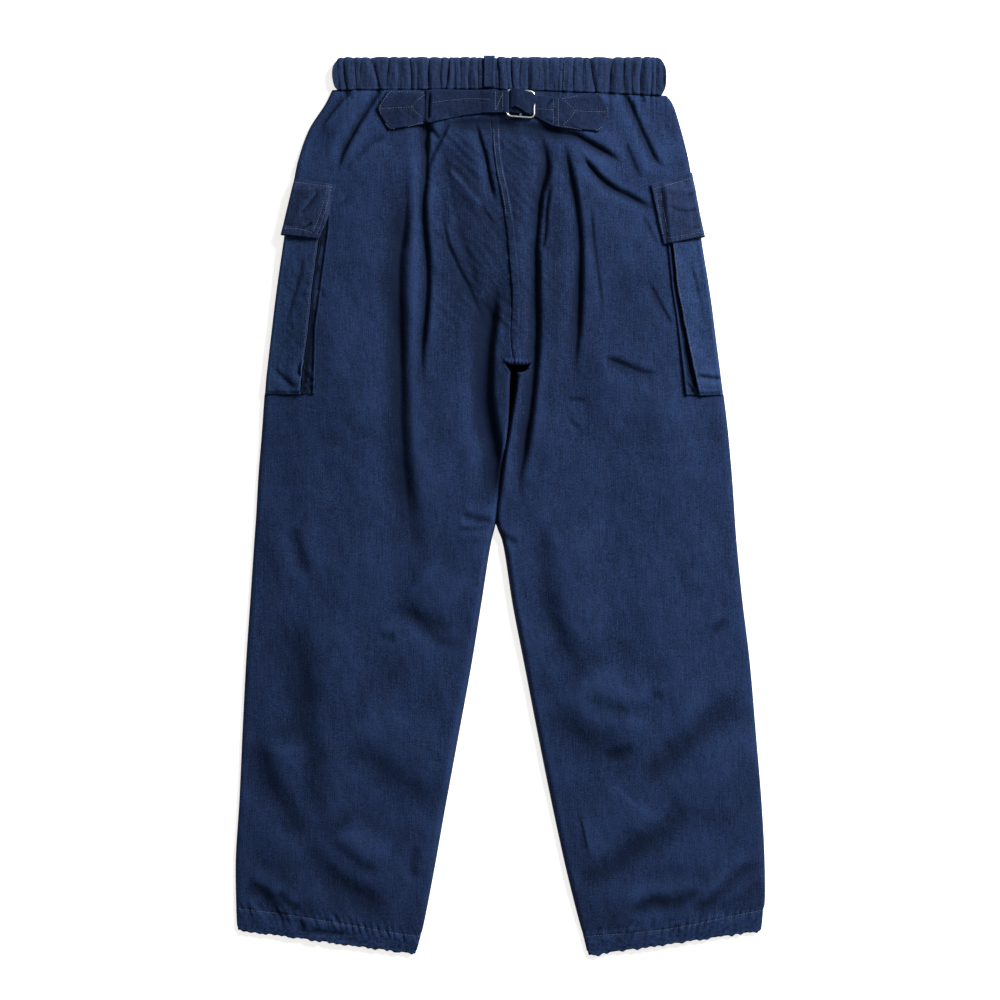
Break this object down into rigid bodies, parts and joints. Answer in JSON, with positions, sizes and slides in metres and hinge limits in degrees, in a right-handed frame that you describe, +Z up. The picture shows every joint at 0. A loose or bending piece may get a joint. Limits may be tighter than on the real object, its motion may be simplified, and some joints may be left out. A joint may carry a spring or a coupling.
{
  "type": "trousers",
  "caption": "Wide cargo trousers laid flat with the back up: gathered elastic waistband, buckled cinch strap at the back and bellows pockets with flaps round the side edges.",
  "frame": {"origin": "on the surface that the trousers lie on, under the centre of their bounding box", "axes": "+Z up from the surface, towards the back of the trousers; +Y from the hems to the waist; +X across the hips, to the right as seen from above"},
  "size_m": [0.5807, 0.9885, 0.0172],
  "materials": {
    "trouser_cloth": "matt indigo cotton twill with a fine slub",
    "pocket_cloth": "matt indigo cotton twill, a little bluer",
    "band_cloth": "matt indigo cotton twill, a little darker",
    "buckle_metal": "polished nickel plate"
  },
  "bodies": {
    "root": {"front_left": "trouser_cloth", "front_right": "trouser_cloth", "back_left": "trouser_cloth", "back_right": "trouser_cloth", "waistband_back": "band_cloth", "waistband_front": "band_cloth", "belt_loop": "band_cloth", "strap_left": "band_cloth", "strap_right": "band_cloth", "buckle": "buckle_metal", "pocket_left": "pocket_cloth", "pocket_right": "pocket_cloth", "pocket_gusset_left": "pocket_cloth", "pocket_gusset_right": "pocket_cloth", "pocket_flap_left": "band_cloth", "pocket_flap_right": "band_cloth"}
  },
  "joints": []
}
